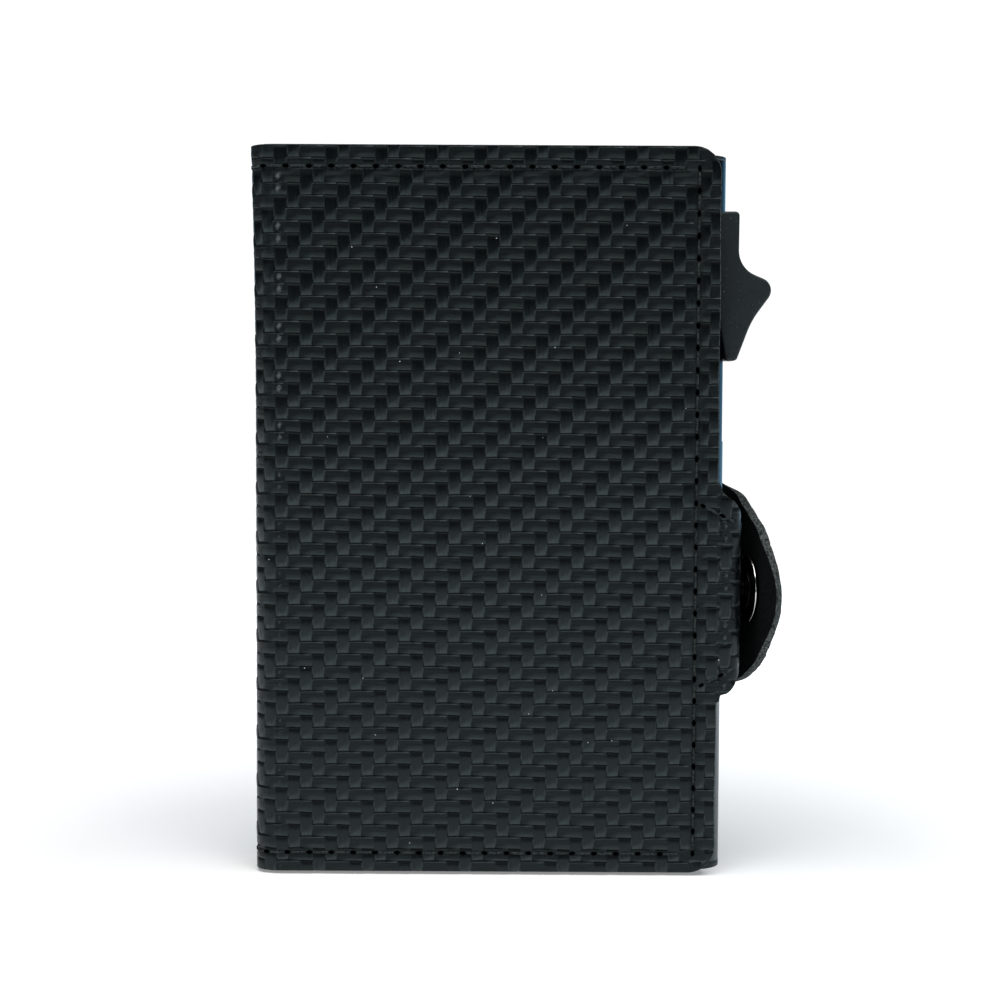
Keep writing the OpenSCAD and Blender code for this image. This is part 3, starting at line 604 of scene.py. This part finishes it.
# the covers' grid lines beside the tows' own: across the pressed line, and over the spine's folds
gridLines = {"bed": (-0.7, -0.35, 0.0, 0.35, 0.7), "foldFrom": 0.5, "foldTo": 11, "foldStep": 0.6}
bedLines = np.array(gridLines["bed"])
foldLines = np.arange(gridLines["foldFrom"], gridLines["foldTo"], gridLines["foldStep"])
coverS = towLines(0.0, wrap["coverEdge"], twill["originS"], twill["cutsS"],
                  np.concatenate([foldLines, rowS + bedLines]))
coverZ = towLines(wrap["lowEdge"], wrap["highEdge"], twill["originZ"],
                  sorted(1 - cut if cut else 0 for cut in twill["cutsZ"]),
                  np.concatenate([rowLow + bedLines, rowHigh + bedLines]))
# every which line of the grid the inner face takes, and the cut edge's bulge in mm
skin = {"cover": (6, 0.13), "tab": (8, 0.06)}
s, z = coverFit(*np.meshgrid(coverS, coverZ))
bed = stitchBed(s, z)
for side, name, fold, *replaced in (
        ("front", "frontCoverSkin", "frontSpine", "front_cover_shell", "spine_shell"),
        ("back", "backCoverSkin", "backSpine", "back_cover_shell")):
    attach(leatherSkin(name, side, s, z, bed, *skin["cover"]), fold, "embossed_leather", *replaced)
print("cover skins done")

# half: half widths in mm against the length past the cover's edge; middle, radius: the round end; shift: how
# far it sits above the stud's middle; foot: how much fuller the lower root is; columns, rows: of the grid
tabs = {
    "front": {
        "half": ((0, 15.0), (0.5, 13.8), (1.1, 13.2), (2.6, 12.3), (3.5, 11.5), (4.1, 10.5), (4.7, 8.2),
                 (5.6, 6.2), (7.2, 5.2), (9.26, 5.4)),
        "middle": 9.26, "radius": 5.4, "shift": -0.25, "foot": 0.8, "columns": 150, "rows": 210},
    "back": {
        "half": ((0, 15.0), (1.82, 14.5), (5.0, 13.42), (13.31, 9.95)),
        "middle": 9.15, "radius": 10.78, "shift": -0.75, "foot": 0.0, "columns": 170, "rows": 170},
    "root": 15.0, "rootRun": 0.5, "blur": (-0.3, -0.15, 0, 0.15, 0.3), "crowding": 1.7, "least": 0.02,
    "shiftRun": 9, "footAt": 1.7, "footWidth": 1.2,
}


def tabGrid(side, columns, rows, inset=0.0):
    # Half width: the line through the given points, averaged over the blur, and past the last one the circle
    # sqrt(r^2 - (t - middle)^2). Columns crowd towards the round end, t = reach (1 - (1 - u)^1.7), and rows
    # spread from edge to edge. The round end sits a little low, as a tab sags when it is closed.
    spec = tabs[side]
    reach = spec["middle"] + spec["radius"] - inset
    t = reach * (1 - (1 - np.linspace(0, 1, columns)) ** tabs["crowding"])
    ts, halves = zip(*spec["half"])
    line = sum(np.interp(np.clip(t + d, 0, None), ts, halves) for d in tabs["blur"]) / len(tabs["blur"])
    circle = np.sqrt(np.clip(spec["radius"] ** 2 - (t - spec["middle"]) ** 2, 0, None))
    half = np.where(t > ts[-1], circle, np.where(t < tabs["rootRun"], tabs["root"] - t, line))
    half = np.clip(half - inset, tabs["least"], None)
    tGrid, vGrid = np.meshgrid(t, np.linspace(-1, 1, rows))
    low = spec["foot"] * np.exp(-((t - tabs["footAt"]) / tabs["footWidth"]) ** 2) * np.clip(-vGrid, 0, 1)
    middle = wrap["snapZ"] + spec["shift"] * smooth(t, 0, tabs["shiftRun"])
    return wrap["coverEdge"] + tGrid, middle + vGrid * half - low


for side, name, fold, node in (("front", "frontTabSkin", "frontTab", "front_tab_shell"),
                               ("back", "backTabSkin", "backTab", "back_tab_leather")):
    s, z = tabGrid(side, tabs[side]["columns"], tabs[side]["rows"])
    attach(leatherSkin(name, side, s, z, None, *skin["tab"]), fold, "embossed_leather", node)


def plainSheet(name, s, z, side, depths, material, coarse, bulge=0.03):
    # a flat sheet of one material between two depths under the outer face, with no relief or marks
    form = (np.zeros_like(s), np.zeros(s.shape + (4,)))
    return sheetSolid(name, s, z, side, depths, form, [material] * 4,
                      np.full((s.shape[0] - 1) * (s.shape[1] - 1), 3), coarse, bulge, 50, False)


liningDepths = (wrap["shell"], wrap["shell"] + wrap["lining"])
s, z = tabGrid("front", 60, 50, wrap["liningInset"])
attach(plainSheet("frontTabLining", s, z, "front", liningDepths, suede, 4), "frontTab", "lining",
       "front_tab_lining")
print("tabs done")


def coverLining(name, side):
    # a suede sheet with the outer leather's outline, drawn in by the inset on its three free sides
    places = np.concatenate([np.linspace(0, 10, 24), np.linspace(10.8, wrap["coverEdge"], 60)])
    s, z = coverFit(*np.meshgrid(places, np.linspace(wrap["lowEdge"], wrap["highEdge"], 90)))
    middle, tall = (wrap["lowEdge"] + wrap["highEdge"]) / 2, (wrap["highEdge"] - wrap["lowEdge"]) / 2
    s = s * (1 - wrap["liningInset"] / wrap["coverEdge"])
    z = middle + (z - middle) * (1 - wrap["liningInset"] / tall)
    return plainSheet(name, s, z, side, liningDepths, suede, 3)


attach(coverLining("frontLining", "front"), "frontSpine", "lining", "front_cover_lining", "spine_lining")
attach(coverLining("backLining", "back"), "backSpine", "lining", "back_cover_lining")

# radius of the thumb notch, the outer face's place in y, and s where x is 0 on the front cover, all in mm
pocket = {"notch": 8.0, "frontFace": -8.3, "sAtZeroX": 39.0265, "bulge": 0.02}


def boxOf(node):
    # the two corners of a node's box in mm
    return [np.array(corner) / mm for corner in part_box(node)]


def pocketSheet(name, node):
    # a leaf with a round thumb notch in its upper edge: top = height - sqrt(r^2 - (x - middle)^2)
    low, high = boxOf(node)
    middle = (low[0] + high[0]) / 2
    x = np.unique(np.concatenate([np.linspace(low[0], high[0], 40),
                                  middle + pocket["notch"] * np.sin(np.linspace(-1, 1, 40) * math.pi / 2)]))
    dip = np.sqrt(np.clip(pocket["notch"] ** 2 - (x - middle) ** 2, 0, None))
    xGrid, vGrid = np.meshgrid(x, np.linspace(0, 1, 24))
    zGrid = low[2] + vGrid * (high[2] - dip - low[2])
    depths = (low[1] - pocket["frontFace"], high[1] - pocket["frontFace"])
    return plainSheet(name, xGrid + pocket["sAtZeroX"], zGrid, "front", depths, pocketLeather, 4,
                      pocket["bulge"])


for name, node in (("tallPocket", "front_pocket_tall"), ("shortPocket", "front_pocket_short")):
    attach(pocketSheet(name, node), "front_cover", "pocket_leather", node)
print("linings and pockets done")


def rowOf(start, end):
    # middles and directions of the stitches between two places, a pitch apart and centred in the run
    start, end = np.array(start, float), np.array(end, float)
    run = np.linalg.norm(end - start)
    count = int(run // stitch["pitch"])
    along = np.repeat([(end - start) / run], count, 0)
    first = (run - (count - 1) * stitch["pitch"]) / 2
    return start + along * (first + np.arange(count)[:, None] * stitch["pitch"]), along


def acrossOf(along):
    # directions in a plane turned a quarter to the left
    return np.stack([-along[:, 1], along[:, 0]], -1)


def tubeFaces(rings, around, flipped):
    # a tube of rings of points, closed at both ends
    faces = gridFaces(rings, around, True)[:, ::-1].tolist()
    faces += [list(range(around)), list(range((rings - 1) * around, rings * around))[::-1]]
    return [face[::-1] for face in faces] if flipped else faces


def threadPoints(middles, along, side, raised):
    # A stitch's middle line arches over the leather, lift = proud - dive u^6, and its radius closes as
    # sqrt(1 - 0.97 u^8), u going from -1 to 1 along it.
    u = np.sin(np.linspace(-1, 1, stitch["rings"]) * math.pi / 2)
    phi = np.arange(stitch["around"]) * 2 * math.pi / stitch["around"]
    radius = stitch["radius"] * np.sqrt(1 - (1 - stitch["tipRadius"]) * np.abs(u) ** 8)
    lift = stitch["proud"] + raised - stitch["radius"] - stitch["dive"] * np.abs(u) ** 6
    centre = middles[:, None, :] + along[:, None, :] * (u[None, :, None] * stitch["length"] / 2)
    aside = (radius[:, None] * np.cos(phi))[None, :, :, None]
    spot = centre[:, :, None, :] + acrossOf(along)[:, None, None, :] * aside
    depth = np.broadcast_to(-(lift[:, None] + radius[:, None] * np.sin(phi)), spot.shape[:-1])
    return onWrap(spot[..., 0], spot[..., 1], depth, side).reshape(-1, 3)


def holePoints(middles, along, side, raised):
    # a needle hole is a thin plug that sinks into the bed, of rings on ellipses (a cos t, b sin t)
    t = (-np.arange(stitch["holePoints"]) * 2 * math.pi / stitch["holePoints"])[None, None, :, None]
    share, height = (np.array(column) for column in zip(*stitch["holeRings"]))
    a, b = stitch["hole"]
    around = along[:, None, None, :] * a * np.cos(t) + acrossOf(along)[:, None, None, :] * b * np.sin(t)
    spot = middles[:, None, None, :] + share[None, :, None, None] * around
    depth = np.broadcast_to(-(height + raised * (height > 0))[None, :, None], spot.shape[:-1])
    return onWrap(spot[..., 0], spot[..., 1], depth, side).reshape(-1, 3)


def stitchRows(name, rows, side, raised=0.0):
    # rows of stitches with a small dark needle hole before and after each
    middles, along = (np.concatenate(parts) for parts in zip(*rows))
    gap = along * stitch["pitch"] / 2
    holes = np.concatenate([middles - gap, middles[-1:] + gap[-1:]])
    points = np.concatenate([threadPoints(middles, along, side, raised),
                             holePoints(holes, np.concatenate([along, along[-1:]]), side, raised)])
    faces, faceSlots, start = [], [], 0
    for slot, rings, around, count in ((0, stitch["rings"], stitch["around"], len(middles)),
                                       (1, len(stitch["holeRings"]), stitch["holePoints"], len(holes))):
        one = tubeFaces(rings, around, side == "back")
        faces += [[v + start + k * rings * around for v in face] for k in range(count) for face in one]
        faceSlots += [slot] * (len(one) * count)
        start += rings * around * count
    return makeObject(name, points, faces, [threadMaterial, blackHole], faceSlots)


blackHole, tree = newMaterial("needle hole, in shadow")
finish(tree, {"Base Color": linear("#010101"), "Roughness": 1.0, "Specular IOR Level": 0.0})
coverRows = [rowOf((0, z), (rowS, z)) for z in (rowLow, rowHigh)] + [rowOf((rowS, rowLow), (rowS, rowHigh))]
attach(stitchRows("frontStitches", coverRows, "front"), "frontSpine", "thread",
       "front_cover_stitches", "spine_stitches")
attach(stitchRows("backStitches", coverRows, "back"), "backSpine", "thread", "back_cover_stitches")

# The front tab's rows: mm above the stud at their start and end, and for the row round its end the radius,
# half the angle in radians and the number of stitches. All are raised a little above the covers' stitches.
tabRow = {"rows": ((12.2, 8.6), (-13.2, -9.4)), "run": 7.2, "radius": 4.4, "angle": 1.35, "stitches": 5,
          "raised": 0.06}
tabRows = [rowOf((rowS, wrap["snapZ"] + start), (rowS + tabRow["run"], wrap["snapZ"] + end))
           for start, end in tabRow["rows"]]
angle = np.linspace(-tabRow["angle"], tabRow["angle"], tabRow["stitches"])
out = np.stack([np.cos(angle), np.sin(angle)], -1)
endMiddle = np.array([wrap["coverEdge"] + tabs["front"]["middle"], wrap["snapZ"]])
tabRows.append((endMiddle + tabRow["radius"] * out, acrossOf(out)))
attach(stitchRows("frontTabStitches", tabRows, "front", tabRow["raised"]), "frontTab", "thread",
       "front_tab_stitches")
print("stitches done")

# places in mm, tilt of the back half in degrees, and steps round each turned part
snap = {"y": -1.4, "frontX": 33.3, "backX": 34.75, "tilt": 11.0, "steps": 72, "capFace": -1.2,
        "domeRadius": 4.9, "domeRings": (4.2, 3.7, 3.0, 2.0, 1.0, 0.02)}


def turned(name, profile, side, slots, rowSlots=0):
    # a closed profile of (radius, height) goes round the stud's axis: (r cos a, r sin a, h)
    rows, steps = len(profile), snap["steps"]
    radius, height = (np.array(column)[:, None] for column in zip(*profile))
    a = np.arange(steps) * 2 * math.pi / steps
    u, v = radius * np.cos(a), radius * np.sin(a)
    w = np.repeat(height, steps, 1)
    if side == "front":
        points = np.stack([snap["frontX"] + w, snap["y"] + u, wrap["snapZ"] + v], -1)
    else:
        t = math.radians(snap["tilt"])
        points = np.stack([snap["backX"] - w * math.cos(t) + u * math.sin(t),
                           snap["y"] - w * math.sin(t) - u * math.cos(t), wrap["snapZ"] + v], -1)
    around = gridFaces(rows + 1, steps, True) % (rows * steps)
    faceSlots = np.repeat(np.broadcast_to(rowSlots, rows), steps)
    return makeObject(name, points.reshape(-1, 3), around.tolist(), slots, faceSlots, sharpAt=40)


def arc(cx, cy, r, start, end, count=6):
    # a round stretch of a profile: (cx + r cos a, cy + r sin a) with a in degrees
    a = np.radians(np.linspace(start, end, count))
    return [(cx + r * math.cos(t), cy + r * math.sin(t)) for t in a]


# profiles as (radius, height) in mm: the stud's hollow head, the socket with its rolled rim, and the cap's
# low dome, (1 - (r / radius)^2)^0.4 high
studProfile = [(0.9, 0.0), (2.5, 0.0)] + arc(2.4, 0.13, 0.12, -20, 90) + arc(1.55, 0.45, 0.22, 250, 180, 4)
studProfile += arc(1.4, 0.85, 0.2, 200, 170, 2) + arc(1.38, 1.12, 0.24, -10, 90) + [(0.95, 1.36), (0.9, 1.3)]
socketStart = [(1.8, -0.4), (4.4, -0.4), (4.5, 0.0)]
socketRim = arc(4.6, 0.16, 0.16, -80, 170, 10)
socketEnd = [(4.2, 0.12), (3.1, 0.12)] + arc(2.85, 0.35, 0.2, 270, 200, 4) + arc(2.6, 0.5, 0.12, 0, 90, 4)
socketEnd += arc(2.1, 0.42, 0.2, 90, 170, 5) + [(1.85, 0.3)]
# the rolled rim takes the bright plate, a painted highlight; the rest is dark
rimSlots = [0, 0] + [1] * (len(socketRim) + 1) + [0] * len(socketEnd)
capProfile = [(0.02, snap["capFace"]), (4.4, snap["capFace"])] + arc(4.6, -1.35, 0.18, 80, -60)
capProfile += [(r, snap["capFace"] - (1 - (r / snap["domeRadius"]) ** 2) ** 0.4) for r in snap["domeRings"]]
attach(turned("studHead", studProfile, "front", [blackNickel]), "front_tab", "stud_metal", "snap_stud")
attach(turned("socketRing", socketStart + socketRim + socketEnd, "back", [blackNickel, brightNickelAndRimHighlight],
              rimSlots), "back_tab", "stud_metal", "snap_socket")
attach(turned("outerCap", capProfile[::-1], "back", [enamel]), "back_tab", "cap_metal", "snap_cap")
print("press stud done")

# half its thickness and the rounding of its edges in mm, and the corners of its side view as (mm from the
# case side, mm from its own top, rounding)
thumb = {"side": 30.8, "top": 91.0, "half": 2.7, "edge": 0.3,
         "corners": ((-0.76, -0.1, 0.9), (2.2, -0.1, 0.6), (2.15, -7.8, 3.6), (7.6, -10.1, 1.75),
                     (4.0, -15.0, 12.0), (1.95, -20.5, 0.6), (0.4, -20.5, 0.5), (-0.76, -13.5, 4.0))}


def roundedOutline(corners, steps=9):
    # each corner becomes an arc of its radius, which starts r tan(turn / 2) before the corner
    corners = np.array(corners, float)
    points = []
    for before, here, after in zip(np.roll(corners, 1, 0), corners, np.roll(corners, -1, 0)):
        into, away = here[:2] - before[:2], after[:2] - here[:2]
        into, away = into / np.linalg.norm(into), away / np.linalg.norm(away)
        turn = math.atan2(into[0] * away[1] - into[1] * away[0], into @ away)
        reach = here[2] * math.tan(abs(turn) / 2)
        start = here[:2] - into * reach
        side = np.array([-into[1], into[0]]) * math.copysign(1, turn)
        a = np.linspace(0, abs(turn), steps)[:, None]
        points.append(start + here[2] * (np.sin(a) * into + (1 - np.cos(a)) * side))
    return np.concatenate(points)


def pressedShape(outline, near, far, edge, steps=5):
    # an outline in x and z is carried along y from near to far and drawn in by edge (1 - cos) at both ends
    after, before = np.roll(outline, -1, 0), np.roll(outline, 1, 0)
    along = after - before
    along = along / np.linalg.norm(along, axis=1)[:, None]
    area = np.sum(outline[:, 0] * after[:, 1] - after[:, 0] * outline[:, 1])
    inward = acrossOf(along) * math.copysign(1, area)
    a = np.linspace(0, math.pi / 2, steps)
    rings = [(near + edge * (1 - math.sin(t)), edge * (1 - math.cos(t))) for t in a][::-1]
    rings += [(far - edge * (1 - math.sin(t)), edge * (1 - math.cos(t))) for t in a]
    points = [np.insert(outline + inward * drawnIn, 1, y, axis=1) for y, drawnIn in rings]
    return np.concatenate(points), tubeFaces(len(rings), len(outline), area <= 0)


def joined(name, shapes, slots, sharpAt=50):
    # one piece out of several shapes, each of points and faces
    starts = np.cumsum([0] + [len(points) for points, _ in shapes])
    faces = [[v + start for v in face] for (_, part), start in zip(shapes, starts) for face in part]
    return makeObject(name, np.concatenate([points for points, _ in shapes]), faces, slots, sharpAt=sharpAt)


outline = roundedOutline([(thumb["side"] + x, thumb["top"] + z, r) for x, z, r in thumb["corners"]])
thumbShape = pressedShape(outline, -thumb["half"], thumb["half"], thumb["edge"])
attach(joined("thumbPiece", [thumbShape], [mouldedAbs], 60), "slider", "moulded_plastic", "slider_thumb")


def blockShape(low, high, corner, edge):
    # a flat block between two corners of its box, rounded at its corners and, less, at its edges
    x0, z0, x1, z1 = low[0], low[2], high[0], high[2]
    corners = [(x0, z0, corner), (x1, z0, corner), (x1, z1, corner), (x0, z1, corner)]
    return pressedShape(roundedOutline(corners, 5), low[1], high[1], edge, 4)


solids = {
    # node, rounding of its edges and how far its right-hand half stands out in mm, material, body, slot
    "caseTube": ("case_body", 0.12, 0.45, anodised, "root", "anodised_case"),
    "endCap": ("closed_end_cap", 0.12, 0.45, mouldedAbs, "root", "moulded_plastic"),
    "mouthFrame": ("mouth_frame", 0.15, 0.45, mouldedAbs, "root", "moulded_plastic"),
    "pusher": ("slider_carriage", 0.1, 0.0, mouldedAbs, "slider", "moulded_plastic"),
    "guideRail": ("card_guide_rail", 0.05, 0.0, millStrip, "root", "bare_aluminium"),
}


def bevelledCopy(name, node, width, wider, material, body, slot):
    # the solid's own mesh with whole flat faces, x + wider where x > 0, and a small round on every edge
    mesh = nodes[node].data.copy()
    mesh.transform(nodes[node].matrix_world)
    work = bmesh.new()
    work.from_mesh(mesh)
    bmesh.ops.remove_doubles(work, verts=work.verts, dist=1e-6)
    bmesh.ops.dissolve_limit(work, angle_limit=math.radians(3), verts=work.verts, edges=work.edges)
    work.to_mesh(mesh)
    work.free()
    places = np.empty(len(mesh.vertices) * 3, np.float32)
    mesh.vertices.foreach_get("co", places)
    x = places[::3].astype(float)
    places[::3] = x + wider * mm * (x > 0)
    mesh.vertices.foreach_set("co", places)
    mesh.update()
    mesh.materials.clear()
    mesh.materials.append(material)
    mesh.shade_smooth()
    piece = addObject(name, mesh)
    rounder = piece.modifiers.new("edges", "BEVEL")
    rounder.width = width * mm
    rounder.segments = 2
    rounder.limit_method = "ANGLE"
    rounder.angle_limit = math.radians(35)
    rounder.harden_normals = True
    attach(piece, body, slot, node)


for name, settings in solids.items():
    bevelledCopy(name, *settings)

felt = {"thick": 0.5, "corner": 0.6, "edge": 0.2}
tape = {"corner": 1.5, "edge": 0.12}
low, high = boxOf("friction_pads")
pads = [blockShape((low[0], y, low[2]), (high[0], y + felt["thick"], high[2]), felt["corner"], felt["edge"])
        for y in (low[1], high[1] - felt["thick"])]
attach(joined("feltPads", pads, [feltWool]), "root", "felt", "friction_pads")
tapeShape = blockShape(*boxOf("adhesive_pad"), tape["corner"], tape["edge"])
attach(joined("foamTape", [tapeShape], [foamTape]), "root", "adhesive", "adhesive_pad")
for node, material in (("snap_post", blackNickel), ("snap_spring", brightNickelAndRimHighlight)):
    nodes[node].data.materials.clear()
    nodes[node].data.materials.append(material)
print("case and slider done")
